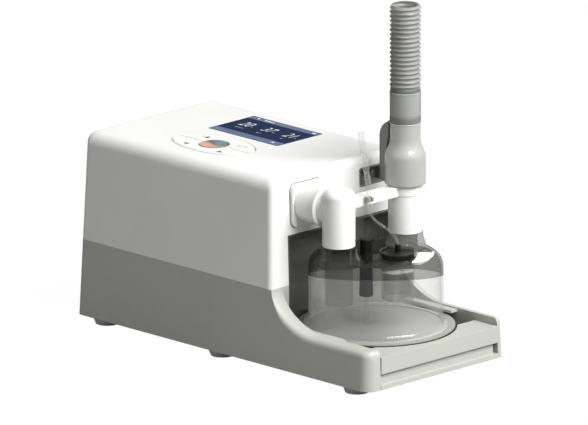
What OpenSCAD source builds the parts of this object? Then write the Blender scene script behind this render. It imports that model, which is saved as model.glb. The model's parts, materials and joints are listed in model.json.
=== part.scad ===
// High-flow respiratory unit with a heated humidifier bay, a water chamber and a breathing tube.
// Origin: middle of the footprint on the table. +X towards the water chamber, +Y to the back, +Z up.

/* [Case] */
// Overall length of the case along X
case_len = 312; // [311:1:313]
// Overall depth of the case along Y
case_depth = 147.6; // [147:0.2:148]
// Height of the case's top above the table
top_z = 148.7; // [148.4:0.1:149]
// Height of the line between the lower and upper shells
seam_z = 64.3; // [63:0.1:66]
// Height of the rubber feet
foot_h = 5; // [4:0.5:5]
// Inward lean of the outer walls in degrees
draft = 2; // [1.8:0.1:2.2]
// Wall thickness of the two shells
wall = 2.6; // [2.4:0.1:2.8]
// X of the end face above the humidifier bay
end_x = 51.5; // [51:0.1:52]

/* [Humidifier bay] */
// Height of the bay's side walls at their low end
bay_wall_z = 35.5; // [35:0.1:36.5]
// Inner face of the front side wall
bay_front_y = -60.2; // [-60.6:0.1:-60]
// Inner face of the rear side wall
bay_rear_y = 65.1; // [65:0.1:65.5]
// Left edge of the dark recess in the end face
recess_y0 = -51.4; // [-51.6:0.1:-51]
// Right edge of the dark recess in the end face
recess_y1 = 57; // [56.6:0.1:57.2]
// Top of the dark recess
recess_z = 101; // [99:0.5:102]
// Travel of the press-down guard
guard_travel = 5; // [3:0.5:5]
// Height of the guard's top face
guard_z = 29.9; // [29.5:0.1:29.9]
// Radius of the cut-out that the guard leaves round the chamber
guard_cut_r = 61.5; // [61:0.1:62]

/* [Water chamber] */
// Position of the chamber's axis along X
chamber_x = 88.6; // [88:0.1:89]
// Position of the chamber's axis along Y
chamber_y = 2; // [1.8:0.1:2.2]
// Outer radius of the chamber's base flange
flange_r = 60; // [59:0.1:60]
// Outer radius of the clear bell
bell_r = 51; // [50:0.1:51]
// Height of the joint between bell and cap, on the chamber's axis
bell_z = 69.5; // [68:0.1:71]
// Tilt of that joint, which rises towards the front corner
joint_tilt = 10; // [0:0.5:12]
// Height of the cap's flat top
cap_z = 86; // [85:0.1:87]
// Distance of each air port from the chamber's axis along Y
port_y = 35.4; // [35:0.1:36]

/* [Breathing tube] */
// Outer radius of the corrugated hose
hose_r = 11.8; // [11:0.1:12.5]
// Number of ribs on the short length of hose
hose_ribs = 18; // [12:1:24]
// Height of the hose's cut end
hose_z = 272.6; // [250:0.1:300]
// Top of the soft cuff between connector and hose
cuff_z = 205.2; // [200:0.1:210]

/* [Controls] */
// Half length of the oval keypad along X
pad_a = 39.1; // [38:0.1:40]
// Half width of the oval keypad along Y
pad_b = 22.8; // [22:0.1:24]
// Radius of the round middle key
centre_key_r = 11; // [10:0.1:12]
// Travel of the five keys
key_travel = 0.6; // [0.4:0.1:0.6]
// Display window's length along X
screen_x = 74.3; // [73:0.1:75]
// Display window's width along Y
screen_y = 49.3; // [48:0.1:50]

/* [Hidden] */
$fn = 64;

half_len = case_len / 2;
half_depth = case_depth / 2;
tan_draft = tan(draft);
eps = 0.01;
gap = 0.1;

left_corner_r = 5;
right_corner_r = 9;
front_fillet_r = 10;
end_fillet_r = 6;
wall_edge_r = 5;
wall_end_r = 4;

swoop_x0 = 52;
swoop_run = 44;
swoop_power = 2 / 1.8;

floor_z = foot_h + 3;
bay_floor_z = foot_h + 3.5;
cavity_y = half_depth - 4.8;
cavity_x0 = -half_len + 4.8;
bulkhead_x = 23;
liner_t = 1.8;
recess_x = 34;
slot_x = 25.4;
slot_z = 24;
liner_front_x = 50.1;

outlet_y = chamber_y - port_y;
outlet_z = 126;
port_x = chamber_x - 4;
port_b_y = chamber_y + port_y;
spigot_r = 12.45;
spigot_x = 42;

socket_y0 = 24;
socket_y1 = 52;
socket_z0 = 125;
socket_z1 = 140;

pad_x = -55.6;
pad_y = -26.4;
pad_gap = 0.5;
key_t = 2.4;
key_proud = 0.15;
stem_r = 2;
screen_cx = -54.8;
screen_cy = 27.8;

board_z = 137.5;
board_t = 1.6;
switch_top_z = board_z + board_t + 2.3;
stem_z = switch_top_z + key_travel + 0.2;
board_x0 = -98;
board_x1 = -12;
board_y0 = -54;
board_y1 = 56.5;

filter_x0 = -130;
filter_x1 = -82;
filter_z0 = 76;
filter_z1 = 122;
filter_face_y = 69.4;

blower_x = -40;
blower_y = 6;
blower_z0 = 84;
blower_z1 = 110;
blower_mid_z = 97;
volute_r0 = 36;
volute_gain = 14.4;
volute_start = -75;
volute_t = 1.8;
impeller_r = 30;
shaft_r = 2;
duct_r = 11;
duct_bore_r = 9;
duct_x0 = -6;
duct_bend_r = 14.5;
ears = [[90, 48], [210, 53], [10, 44]];
ear_spots = [for (e = ears) [blower_x + e[1] * cos(e[0]), blower_y + e[1] * sin(e[0])]];

screw_posts = [for (x = [-140, 12], y = [-56, 56]) [x, y]];
foot_spots = [for (x = [-134, -10, 133], y = [-62.6, 62.6]) [x, y]];
board_posts = [for (x = [-95, -15], y = [-51.2, 53.8]) [x, y]];

heater_r = 50;
heater_top_z = 30;
heater_bottom_z = 22;
base_z = heater_top_z + gap;
flange_z = base_z + 0.9;
heater_spring_r = 4;
guard_spring_spots = [[143, -51], [143, 55]];
guard_plate_t = 2.6;
guard_x0 = 131.8;

pipe_r = 13;
pipe_bore_r = 11;
hub_x = 105.4;
hub_y = 8.7;
hub_r = 12.3;
column_x = 82;
column_y = -1.5;
float_r = 10;
connector_r = 15.6;
connector_z = 133.1;
neck_z = 181.3;

shell_white = [0.93, 0.93, 0.91];
shell_grey = [0.62, 0.62, 0.59];
dark_plastic = [0.24, 0.24, 0.22];
smoked = [0.3, 0.3, 0.29, 0.75];
clear = [0.9, 0.93, 0.93, 0.3];
adapter_white = [0.97, 0.97, 0.94];
hose_grey = [0.62, 0.63, 0.61];
rubber = [0.16, 0.16, 0.16];
steel = [0.72, 0.73, 0.74];
board_green = [0.12, 0.36, 0.22];

// How far a drafted wall has moved in at height z
function inset(z) = (z - foot_h) * tan_draft;
// X of the end face above the bay at height z
function end_face_x(z) = end_x - (z - seam_z) * tan_draft;

// ---------------------------------------------------------------- helpers

function side_faces(m, n) = [
    for (i = [0 : m - 2], j = [0 : n - 1])
        each [
            [i * n + j, (i + 1) * n + j, (i + 1) * n + (j + 1) % n],
            [i * n + j, (i + 1) * n + (j + 1) % n, i * n + (j + 1) % n]
        ]
];

// Closed solid through a list of rings with equal numbers of points
module skin(rings) {
    n = len(rings[0]);
    m = len(rings);
    polyhedron(
        points = [for (r = rings) each r],
        faces = concat(
            [[for (j = [0 : n - 1]) j]],
            side_faces(m, n),
            [[for (j = [n - 1 : -1 : 0]) (m - 1) * n + j]]
        )
    );
}

function unit(v) = v / norm(v);
function bezier(a, b, c, d, t) =
    pow(1 - t, 3) * a + 3 * pow(1 - t, 2) * t * b + 3 * (1 - t) * t * t * c + pow(t, 3) * d;

// Round tube solid that follows a list of points
module swept(path, r, sides) {
    last = len(path) - 1;
    side = [0.7, -0.7, 0.1];
    skin([
        for (i = [0 : last])
            let (
                t = unit(path[min(i + 1, last)] - path[max(i - 1, 0)]),
                u = unit(cross(t, side)),
                v = cross(t, u)
            )
            [for (k = [0 : sides - 1]) let (a = 360 * k / sides) path[i] + r * (cos(a) * u + sin(a) * v)]
    ]);
}

// Compression spring standing on z = 0
module coil(r, h, turns, wire) {
    steps = turns * 14;
    swept([
        for (i = [0 : steps])
            let (a = 360 * turns * i / steps)
            [r * cos(a), r * sin(a), wire + (h - 2 * wire) * i / steps]
    ], wire, 6);
}

// Rectangle with round corners between two corner points
module rounded_rect(x0, x1, y0, y1, r) {
    translate([x0 + r, y0]) square([x1 - x0 - 2 * r, y1 - y0]);
    translate([x0, y0 + r]) square([x1 - x0, y1 - y0 - 2 * r]);
    for (x = [x0 + r, x1 - r], y = [y0 + r, y1 - r]) translate([x, y]) circle(r);
}

module block(x0, x1, y0, y1, z0, z1) {
    translate([x0, y0, z0]) cube([x1 - x0, y1 - y0, z1 - z0]);
}

module rounded_block(x0, x1, y0, y1, z0, z1, r) {
    translate([0, 0, z0]) linear_extrude(z1 - z0) rounded_rect(x0, x1, y0, y1, r);
}

// Plate that lies in the YZ plane and is thick along X
module end_plate(x0, x1, y0, y1, z0, z1, r) {
    translate([x0, 0, 0]) rotate([90, 0, 90]) linear_extrude(x1 - x0) rounded_rect(y0, y1, z0, z1, r);
}

module post(x, y, z0, z1, r) {
    translate([x, y, z0]) cylinder(h = z1 - z0, r = r);
}

module ring(x, y, z0, z1, r, bore) {
    translate([x, y, z0]) difference() {
        cylinder(h = z1 - z0, r = r);
        translate([0, 0, -1]) cylinder(h = z1 - z0 + 2, r = bore);
    }
}

// Cylinder along X
module rod_x(x0, x1, y, z, r) {
    translate([x0, y, z]) rotate([0, 90, 0]) cylinder(h = x1 - x0, r = r);
}

// ---------------------------------------------------------------- case

function drafted(x, y, z) = [x * (1 - inset(z) / half_len), y * (1 - inset(z) / half_depth), z];

// Cross-section of the lower shell at one x: flat bottom, round upper edges
function lower_ring(x, hd, top, r) = concat(
    [drafted(x, -hd, foot_h), drafted(x, hd, foot_h)],
    [for (a = [0 : 15 : 90]) drafted(x, hd - r + r * cos(a), top - r + r * sin(a))],
    [for (a = [90 : 15 : 180]) drafted(x, -hd + r + r * cos(a), top - r + r * sin(a))]
);

function lower_rings() = concat(
    [for (b = [0 : 15 : 90])
        lower_ring(
            -half_len + left_corner_r * (1 - cos(b)), half_depth - left_corner_r * (1 - sin(b)), seam_z, 0.3
        )],
    [for (t = [0 : 7.5 : 90])
        lower_ring(
            swoop_x0 + swoop_run * (1 - pow(cos(t), swoop_power)),
            half_depth,
            seam_z - (seam_z - bay_wall_z) * pow(sin(t), swoop_power),
            max(0.3, wall_edge_r * min(1, t / 40))
        )],
    [for (b = [0 : 10 : 90])
        let (x = half_len - right_corner_r * (1 - sin(b)), over = max(0, x - half_len + wall_end_r))
        lower_ring(
            x,
            half_depth - right_corner_r * (1 - cos(b)),
            bay_wall_z - wall_end_r + sqrt(pow(wall_end_r, 2) - over * over),
            wall_edge_r
        )]
);

module lower_shell() {
    boss_top = 20;
    strip_x = 153.8;
    strip_t = 2.2;
    strip_top = 20;
    strip_y1 = 61.6;
    rail_z = 32.6;
    rail_t = 2;
    rail_x0 = 63;
    rail_x1 = 113;
    color(shell_grey) difference() {
        union() {
            difference() {
                skin(lower_rings());
                rounded_block(cavity_x0, bulkhead_x, -cavity_y, cavity_y, floor_z, seam_z + 1, 3);
                block(bulkhead_x - 1, end_x - 3, -cavity_y, recess_y0 - 4, floor_z, seam_z + 1);
                block(bulkhead_x - 1, end_x - 3, recess_y1 + 4, cavity_y, floor_z, seam_z + 1);
                block(end_x, half_len + 5, bay_front_y, bay_rear_y, bay_floor_z, seam_z + 5);
                post(chamber_x, chamber_y, bay_floor_z, bay_wall_z + 1, guard_cut_r + gap);
                block(
                    slot_x - gap, end_x + 1, recess_y0 - liner_t - gap, recess_y1 + liner_t + gap,
                    slot_z, seam_z + 1
                );
            }
            block(strip_x - strip_t, strip_x, bay_front_y - 1, strip_y1, bay_floor_z - 1, strip_top);
            block(rail_x0, rail_x1, bay_front_y - 1, bay_front_y + 6, rail_z, rail_z + rail_t);
            block(rail_x0, rail_x1, bay_rear_y - 7, bay_rear_y + 1, rail_z, rail_z + rail_t);
            for (p = screw_posts) post(p[0], p[1], floor_z - 1, boss_top, 5);
            for (p = ear_spots) post(p[0], p[1], floor_z - 1, blower_z0 - 4.1, 5);
            for (p = guard_spring_spots) post(p[0], p[1], bay_floor_z - 1, bay_floor_z + 3, 1.6);
        }
        for (p = screw_posts) {
            post(p[0], p[1], foot_h - 1, foot_h + 2.4, 3.4);
            post(p[0], p[1], foot_h, boss_top + 1, 1.7);
        }
        for (p = ear_spots) post(p[0], p[1], blower_z0 - 14, blower_z0, 1.55);
        for (p = foot_spots) post(p[0], p[1], foot_h - 1, foot_h + 2.1, 3.05);
        block(
            half_len - 0.8, half_len + 1, bay_front_y - 0.1, bay_front_y + 0.5, foot_h - 1, bay_floor_z + 1
        );
        power_inlet_hole();
    }
}

// Rounded outline of the upper shell, moved in by i, with its rows of height at angle t of the top fillet
function upper_ring(t, i, low) = [
    for (corner = [0 : 3], k = [0 : 6])
        let (
            a = 90 * corner + 15 * k,
            sx = corner == 0 || corner == 3 ? 1 : -1,
            sy = corner < 2 ? 1 : -1,
            c = left_corner_r - i,
            along = abs(sin(a)),
            fr = front_fillet_r - i,
            er = end_fillet_r - i,
            f = fr * along * along + er * (1 - along * along),
            z = low ? seam_z : top_z - i - f * (1 - sin(t)),
            x_face = sx > 0 ? end_face_x(z) - i : half_len - inset(z) - i,
            y_face = half_depth - inset(z) - i,
            in_x = low ? 0 : er * (1 - cos(t)),
            in_y = low ? 0 : fr * (1 - cos(t))
        )
        [
            sx * (x_face - in_x - c) + c * cos(a),
            sy * (y_face - in_y - c) + c * sin(a),
            low ? seam_z - (i > 0 ? 1 : 0) : z
        ]
];

function upper_rings(i) = concat(
    [upper_ring(0, i, true)],
    [for (t = [0 : 11.25 : 90]) upper_ring(t, i, false)]
);

module upper_shell() {
    color(shell_white) difference() {
        union() {
            difference() {
                skin(upper_rings(0));
                skin(upper_rings(wall));
            }
            for (p = screw_posts) post(p[0], p[1], 20.2, top_z - wall + 0.5, 4.2);
            for (p = board_posts) post(p[0], p[1], board_z + board_t + gap, top_z - wall + 0.5, 2.6);
        }
        for (p = screw_posts) post(p[0], p[1], 20, 40, 1.55);
        block(
            recess_x - liner_t - gap, end_x + 5, recess_y0 - liner_t - gap, recess_y1 + liner_t + gap,
            seam_z - 2, recess_z + liner_t + gap
        );
        end_plate(
            end_x - 8, end_x + 5, outlet_y - 16.6, outlet_y + 16.6, outlet_z - 17.6, outlet_z + 15.6, 5.1
        );
        end_plate(end_x - 8, end_x + 5, socket_y0, socket_y1, socket_z0, socket_z1, 2);
        rounded_block(
            screen_cx - screen_x / 2 - gap, screen_cx + screen_x / 2 + gap,
            screen_cy - screen_y / 2 - gap, screen_cy + screen_y / 2 + gap, top_z - 1.7, top_z + 1, 1.6
        );
        rounded_block(
            screen_cx - 35.4, screen_cx + 35.4, screen_cy - 22.9, screen_cy + 22.9, top_z - 5, top_z, 1
        );
        translate([pad_x, pad_y, top_z - 5]) linear_extrude(10) oval(pad_a, pad_b);
        block(filter_x0, filter_x1, half_depth - 12, half_depth + 1, filter_z0, filter_z1);
        rod_x(-half_len - 1, -half_len + 12, oxygen_y, oxygen_z, oxygen_cup_r + gap);
    }
}

// Dark lining of the recess that the chamber backs into, with a deeper slot for its flange
module bay_liner() {
    color(dark_plastic) difference() {
        union() {
            block(
                recess_x - liner_t, liner_front_x, recess_y0 - liner_t, recess_y1 + liner_t, slot_z,
                recess_z + liner_t
            );
            block(
                slot_x, liner_front_x, recess_y0 - liner_t, recess_y1 + liner_t, slot_z + gap,
                bay_wall_z + liner_t
            );
        }
        rounded_block(recess_x, end_x + 60, recess_y0, recess_y1, slot_z - 1, recess_z, 20);
        post(chamber_x, chamber_y, slot_z - 1, bay_wall_z, guard_cut_r);
    }
}

module outlet_flange() {
    color(shell_white) difference() {
        union() {
            end_plate(46.6, 52, outlet_y - 16.5, outlet_y + 16.5, outlet_z - 17.5, outlet_z + 15.5, 5);
            rod_x(34, 47, outlet_y, outlet_z, 15);
        }
        rod_x(spigot_x - 0.5, 53, outlet_y, outlet_z, spigot_r + gap);
        rod_x(33, 42, outlet_y, outlet_z, duct_r + 0.05);
        translate([47.9, outlet_y, outlet_z]) rotate([0, 90, 0])
            rotate_extrude() translate([spigot_r + 0.9, 0]) circle(1.15, $fn = 24);
    }
}

module outlet_seal() {
    color(rubber) translate([47.9, outlet_y, outlet_z]) rotate([0, 90, 0])
        rotate_extrude() translate([spigot_r + 1.15, 0]) circle(0.8, $fn = 24);
}

module tube_socket() {
    color(dark_plastic) difference() {
        end_plate(
            38, end_face_x(socket_z1) - 0.2, socket_y0 + gap, socket_y1 - gap, socket_z0 + gap,
            socket_z1 - gap, 1.9
        );
        end_plate(40, end_x + 1, socket_y0 + 1.6, socket_y1 - 1.6, socket_z0 + 1.6, socket_z1 - 1.6, 1);
        for (y = [31, 38, 45]) rod_x(37, 41, y, (socket_z0 + socket_z1) / 2, 1.15);
    }
}

module socket_contacts() {
    color([0.8, 0.66, 0.35]) for (y = [31, 38, 45]) rod_x(34, 42.5, y, (socket_z0 + socket_z1) / 2, 1.1);
}

module rubber_feet() {
    color(rubber) for (p = foot_spots) {
        translate([p[0], p[1], 0]) cylinder(h = foot_h, r1 = 9, r2 = 11);
        post(p[0], p[1], foot_h - eps, foot_h + 2, 3);
    }
}

module case_screws() {
    color(steel) for (p = screw_posts) difference() {
        union() {
            post(p[0], p[1], foot_h + 0.3, foot_h + 2.3, 3.2);
            post(p[0], p[1], foot_h + 2, 36, 1.5);
        }
        translate([p[0], p[1], foot_h]) cylinder(h = 1.6, r = 1.5, $fn = 6);
    }
}

// ---------------------------------------------------------------- controls

module oval(a, b) {
    polygon([for (k = [0 : 95]) [a * cos(3.75 * k), b * sin(3.75 * k)]]);
}

module display_lens() {
    color([0.1, 0.14, 0.25]) rounded_block(
        screen_cx - screen_x / 2, screen_cx + screen_x / 2,
        screen_cy - screen_y / 2, screen_cy + screen_y / 2, top_z - 1.6, top_z + 0.05, 1.5
    );
}

module display_module() {
    color(steel) union() {
        block(screen_cx - 35, screen_cx + 35, screen_cy - 22.5, screen_cy + 22.5, top_z - 5.5, top_z - 1.7);
        block(
            screen_cx - 30, screen_cx + 30, screen_cy - 18, screen_cy + 18, board_z + board_t + 0.2, top_z - 5
        );
    }
}

// Sides of the pad the four outer keys sit on, as signs along X and Y
key_sides = [[-1, -1], [1, -1], [-1, 1], [1, 1]];
function key_spot(side) = [pad_x + 20 * side[0], pad_y + 11.5 * side[1]];

module key_frame() {
    color([0.8, 0.8, 0.78]) difference() {
        translate([pad_x, pad_y, top_z - wall - 1.6]) linear_extrude(1.5) oval(pad_a + 2.5, pad_b + 2.5);
        translate([pad_x, pad_y, top_z - wall - 0.5]) linear_extrude(1) oval(pad_a + 0.3, pad_b + 0.3);
        for (side = key_sides) post(key_spot(side)[0], key_spot(side)[1], top_z - 6, top_z, stem_r + 0.1);
        post(pad_x, pad_y, top_z - 6, top_z, 4.1);
    }
}

// One of the four outer keys: a quarter of the oval
module quarter_key(side) {
    color(shell_white) union() {
        translate([pad_x, pad_y, top_z + key_proud - key_t]) linear_extrude(key_t) difference() {
            intersection() {
                oval(pad_a - 0.7, pad_b - 0.7);
                scale([side[0], side[1]]) translate([pad_gap / 2, pad_gap / 2]) square(2 * pad_a);
            }
            circle(centre_key_r + 1);
        }
        post(key_spot(side)[0], key_spot(side)[1], stem_z, top_z + key_proud - 1, stem_r);
    }
}

module key_down() { quarter_key(key_sides[0]); }
module key_up() { quarter_key(key_sides[1]); }
module key_silence() { quarter_key(key_sides[2]); }
module key_power() { quarter_key(key_sides[3]); }

module centre_key() {
    dish_r = 60;
    color([0.8, 0.55, 0.42]) difference() {
        union() {
            post(pad_x, pad_y, top_z + key_proud - key_t, top_z + 0.3, centre_key_r);
            post(pad_x, pad_y, stem_z, top_z - 1, 4);
        }
        translate([pad_x, pad_y, top_z + dish_r - 0.6]) sphere(dish_r, $fn = 96);
    }
}

module key_switches() {
    color([0.15, 0.15, 0.16]) for (p = concat([for (side = key_sides) key_spot(side)], [[pad_x, pad_y]])) {
        block(p[0] - 3, p[0] + 3, p[1] - 3, p[1] + 3, board_z + board_t, board_z + board_t + 1.6);
        post(p[0], p[1], board_z + board_t + 1.5, switch_top_z, 1.6);
    }
}

module control_board() {
    color(board_green) difference() {
        block(board_x0, board_x1, board_y0, board_y1, board_z, board_z + board_t);
        for (p = board_posts) post(p[0], p[1], board_z - 1, board_z + 3, 1.3);
    }
}

module alarm_buzzer() {
    color([0.1, 0.1, 0.1]) ring(-85, 40, board_z - 7, board_z, 6, 1.2);
}

module power_board() {
    x0 = -144;
    x1 = -96;
    color([0.42, 0.3, 0.16]) union() {
        block(x0, x1, -48, 48, floor_z + 4, floor_z + 5.6);
        for (p = [[x0 + 5, -43], [x0 + 5, 43], [x1 - 5, -43], [x1 - 5, 43]])
            post(p[0], p[1], floor_z + eps, floor_z + 4.5, 3);
        block(x0 + 8, x0 + 36, -32, -6, floor_z + 5, floor_z + 30);
        block(x0 + 8, x0 + 30, 8, 30, floor_z + 5, floor_z + 22);
        for (y = [-40, 0, 40]) post(x1 - 12, y, floor_z + 5, floor_z + 30, 5);
    }
}

module ribbon_cable() {
    x = board_x0 + 4;
    color([0.75, 0.75, 0.72]) translate([0, 12, 0]) rotate([90, 0, 0]) linear_extrude(18)
        polygon([
            [x, board_z], [x, board_z - 12], [x - 6, board_z - 24], [x - 6, floor_z + 5.6],
            [x - 5.2, floor_z + 5.6], [x - 5.2, board_z - 24.4], [x + 0.8, board_z - 12.4], [x + 0.8, board_z]
        ]);
}

// ---------------------------------------------------------------- inlets

inlet_x = -60;
inlet_z = 34;
module power_inlet_hole() {
    block(inlet_x - 15.1, inlet_x + 15.1, cavity_y - 2, half_depth + 2, inlet_z - 12.1, inlet_z + 12.1);
}

module power_inlet() {
    face_y = half_depth - inset(inlet_z + 12) - 0.4;
    color([0.12, 0.12, 0.12]) difference() {
        union() {
            block(inlet_x - 15, inlet_x + 15, cavity_y, face_y, inlet_z - 12, inlet_z + 12);
            block(inlet_x - 13, inlet_x + 13, 50, cavity_y + 1, inlet_z - 10, inlet_z + 10);
        }
        block(inlet_x - 11.5, inlet_x + 11.5, 56, half_depth + 1, inlet_z - 7.5, inlet_z + 7.5);
        for (x = [inlet_x - 6, inlet_x, inlet_x + 6])
            block(x - 1.2, x + 1.2, 49, 57, inlet_z - 2.5, inlet_z + 2.5);
    }
}

oxygen_y = 30;
oxygen_z = 100;
oxygen_cup_r = 14;
oxygen_pin_r = 3;
oxygen_cup_x0 = -half_len + 4;
oxygen_cup_x1 = -132;
oxygen_tail = 5;

module oxygen_inlet() {
    color([0.85, 0.87, 0.88]) difference() {
        union() {
            difference() {
                rod_x(oxygen_cup_x0, oxygen_cup_x1, oxygen_y, oxygen_z, oxygen_cup_r);
                rod_x(oxygen_cup_x0 - 1, oxygen_cup_x1 - 2.5, oxygen_y, oxygen_z, oxygen_cup_r - 1.8);
            }
            rod_x(oxygen_cup_x0 + 1, oxygen_cup_x1 + oxygen_tail, oxygen_y, oxygen_z, oxygen_pin_r);
        }
        rod_x(oxygen_cup_x0 - 1, oxygen_cup_x1 + oxygen_tail + 1, oxygen_y, oxygen_z, 1.6);
    }
}

module oxygen_hose() {
    start = [oxygen_cup_x1 + 0.5, oxygen_y, oxygen_z];
    finish = [blower_x - 16, blower_y + 12, blower_z1 + 8];
    color([0.5, 0.7, 0.6, 0.8]) difference() {
        swept(
            [for (i = [0 : 14]) bezier(start, start + [30, 0, 0], finish + [-30, 6, 16], finish, i / 14)],
            4.4, 12
        );
        rod_x(oxygen_cup_x1 - 1, oxygen_cup_x1 + oxygen_tail + 1, oxygen_y, oxygen_z, oxygen_pin_r + 0.3);
    }
}

module filter_seat() {
    depth = 13;
    y1 = half_depth - inset(filter_z1) - wall - 0.3;
    color([0.3, 0.31, 0.32]) difference() {
        block(filter_x0 - 2, filter_x1 + 2, y1 - depth, y1, filter_z0 - 2, filter_z1 + 2);
        block(filter_x0, filter_x1, y1 - depth + 2, y1 + 1, filter_z0, filter_z1);
        for (k = [0 : 5]) {
            slot_x = filter_x0 + 4 + 7 * k;
            block(slot_x, slot_x + 5, y1 - depth - 1, y1, filter_z0 + 4, filter_z1 - 4);
        }
    }
}

module filter_cover() {
    color(shell_white) difference() {
        block(
            filter_x0 + 0.3, filter_x1 - 0.3, filter_face_y - 2.4, filter_face_y,
            filter_z0 + 0.3, filter_z1 - 0.3
        );
        for (z = [filter_z0 + 6 : 5 : filter_z1 - 8])
            block(filter_x0 + 7, filter_x1 - 7, filter_face_y - 3, filter_face_y + 1, z, z + 2.4);
    }
}

module air_filter() {
    color([0.25, 0.27, 0.3])
        block(
            filter_x0 + 0.5, filter_x1 - 0.5, filter_face_y - 9, filter_face_y - 2.5,
            filter_z0 + 0.5, filter_z1 - 0.5
        );
}

// ---------------------------------------------------------------- blower

function volute_r(phi) = volute_r0 + volute_gain * phi / 345;

// Plan of the spiral casing with its outlet, grown by g
module volute(g) {
    nozzle = duct_r + g;
    union() {
        polygon([
            for (phi = [0 : 7.5 : 345])
                let (a = phi + volute_start, r = volute_r(phi) + g)
                [blower_x + r * cos(a), blower_y + r * sin(a)]
        ]);
        translate([blower_x, outlet_y - nozzle]) square([duct_x0 - blower_x - gap, 2 * nozzle]);
    }
}

module ear_plates(z0, z1) {
    translate([0, 0, z0]) linear_extrude(z1 - z0) for (e = ears)
        translate([blower_x, blower_y]) rotate(e[0]) {
            translate([e[1], 0]) circle(5);
            translate([34, -5]) square([e[1] - 34, 10]);
        }
}

module blower_cavity() {
    translate([0, 0, blower_z0 + 2]) linear_extrude(blower_z1 - blower_z0 - 4) volute(-volute_t);
    rod_x(blower_x, duct_x0 + 1, outlet_y, blower_mid_z, duct_bore_r);
}

module blower_housing() {
    color([0.2, 0.21, 0.22]) difference() {
        union() {
            translate([0, 0, blower_z0]) linear_extrude(blower_mid_z - blower_z0) volute(0);
            ear_plates(blower_z0, blower_z0 + 3);
        }
        blower_cavity();
        post(blower_x, blower_y, blower_z0 - 1, blower_z0 + 3, 6);
        for (p = ear_spots) post(p[0], p[1], blower_z0 - 1, blower_z0 + 4, 1.7);
    }
}

module blower_cover() {
    color([0.26, 0.27, 0.28]) difference() {
        translate([0, 0, blower_mid_z + eps]) linear_extrude(blower_z1 - blower_mid_z) volute(0);
        blower_cavity();
        post(blower_x, blower_y, blower_mid_z, blower_z1 + 1, 15);
    }
}

module blower_motor() {
    color(steel) difference() {
        union() {
            post(blower_x, blower_y, 62, blower_z0 - eps, 19);
            post(blower_x, blower_y, 58, 63, 12);
        }
        post(blower_x, blower_y, 64, blower_z0 + 1, shaft_r + 0.05);
    }
}

module motor_shaft() {
    color([0.8, 0.8, 0.82]) post(blower_x, blower_y, 64.5, 99, shaft_r);
}

module impeller() {
    blades = 11;
    plate_z = 88;
    color([0.85, 0.85, 0.8]) difference() {
        union() {
            post(blower_x, blower_y, plate_z, plate_z + 1.4, impeller_r);
            post(blower_x, blower_y, plate_z, 98.5, 8);
            for (k = [0 : blades - 1])
                translate([blower_x, blower_y, plate_z + 1]) rotate(360 * k / blades)
                    translate([6.6, 0, 0]) rotate(-32) cube([24, 1.2, 9]);
        }
        post(blower_x, blower_y, plate_z - 1, 100, shaft_r + eps);
    }
}

module blower_dampers() {
    color(rubber) for (p = ear_spots) ring(p[0], p[1], blower_z0 - 4, blower_z0 - eps, 5, 1.7);
}

module blower_screws() {
    color(steel) for (p = ear_spots) {
        post(p[0], p[1], blower_z0 - 13, blower_z0 + 4, 1.5);
        post(p[0], p[1], blower_z0 + 3.02, blower_z0 + 5, 3);
    }
}

// Quarter bend of a pipe in the XZ plane, centred on the origin of its torus
module bend(r, start) {
    rotate([90, 0, 0]) rotate([0, 0, start])
        rotate_extrude(angle = 90) translate([duct_bend_r, 0]) circle(r, $fn = 48);
}

module duct_shape(r, over) {
    first_x = duct_x0 + 10;
    last_x = first_x + 2 * duct_bend_r;
    rod_x(duct_x0 - over, first_x, outlet_y, blower_mid_z, r);
    translate([first_x, outlet_y, blower_mid_z + duct_bend_r]) bend(r, 270);
    translate([last_x, outlet_y, outlet_z - duct_bend_r]) bend(r, 90);
    rod_x(last_x, spigot_x - 1 + over, outlet_y, outlet_z, r);
}

module outlet_duct() {
    color([0.55, 0.57, 0.58]) difference() {
        duct_shape(duct_r, 0);
        duct_shape(duct_bore_r, 1);
    }
}

module flow_sensor() {
    color([0.1, 0.25, 0.3]) difference() {
        block(-3, 3, outlet_y - 13, outlet_y + 13, blower_mid_z - 6, blower_mid_z + 19);
        rod_x(-4, 4, outlet_y, blower_mid_z, duct_r + 0.05);
    }
}

// ---------------------------------------------------------------- heater and guard

heater_spring_spots = [for (a = [30, 150, 270]) [chamber_x + 36 * cos(a), chamber_y + 36 * sin(a)]];

module heater_housing() {
    color(dark_plastic) difference() {
        post(chamber_x, chamber_y, bay_floor_z + gap, heater_top_z - 1, flange_r - 1);
        post(chamber_x, chamber_y, bay_floor_z + 4, heater_top_z, heater_r + 0.4);
    }
}

module heater_plate() {
    color([0.75, 0.75, 0.74]) union() {
        post(chamber_x, chamber_y, heater_bottom_z, heater_top_z, heater_r);
        for (p = heater_spring_spots) post(p[0], p[1], heater_bottom_z - 3, heater_bottom_z + 1, 2.6);
    }
}

module heating_element() {
    color([0.7, 0.45, 0.2]) difference() {
        post(chamber_x, chamber_y, heater_bottom_z - 1.3, heater_bottom_z - eps, 44);
        for (p = heater_spring_spots) post(p[0], p[1], heater_bottom_z - 2, heater_bottom_z + 1, 6);
        post(chamber_x, chamber_y, heater_bottom_z - 2, heater_bottom_z + 1, 8);
    }
}

module thermal_cutout() {
    color([0.9, 0.9, 0.85]) post(chamber_x, chamber_y, heater_bottom_z - 4, heater_bottom_z - eps, 6);
}

module heater_springs() {
    color(steel) for (p = heater_spring_spots)
        translate([p[0], p[1], bay_floor_z + 4.05])
            coil(heater_spring_r, heater_bottom_z - bay_floor_z - 4.1, 4, 0.5);
}

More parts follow.
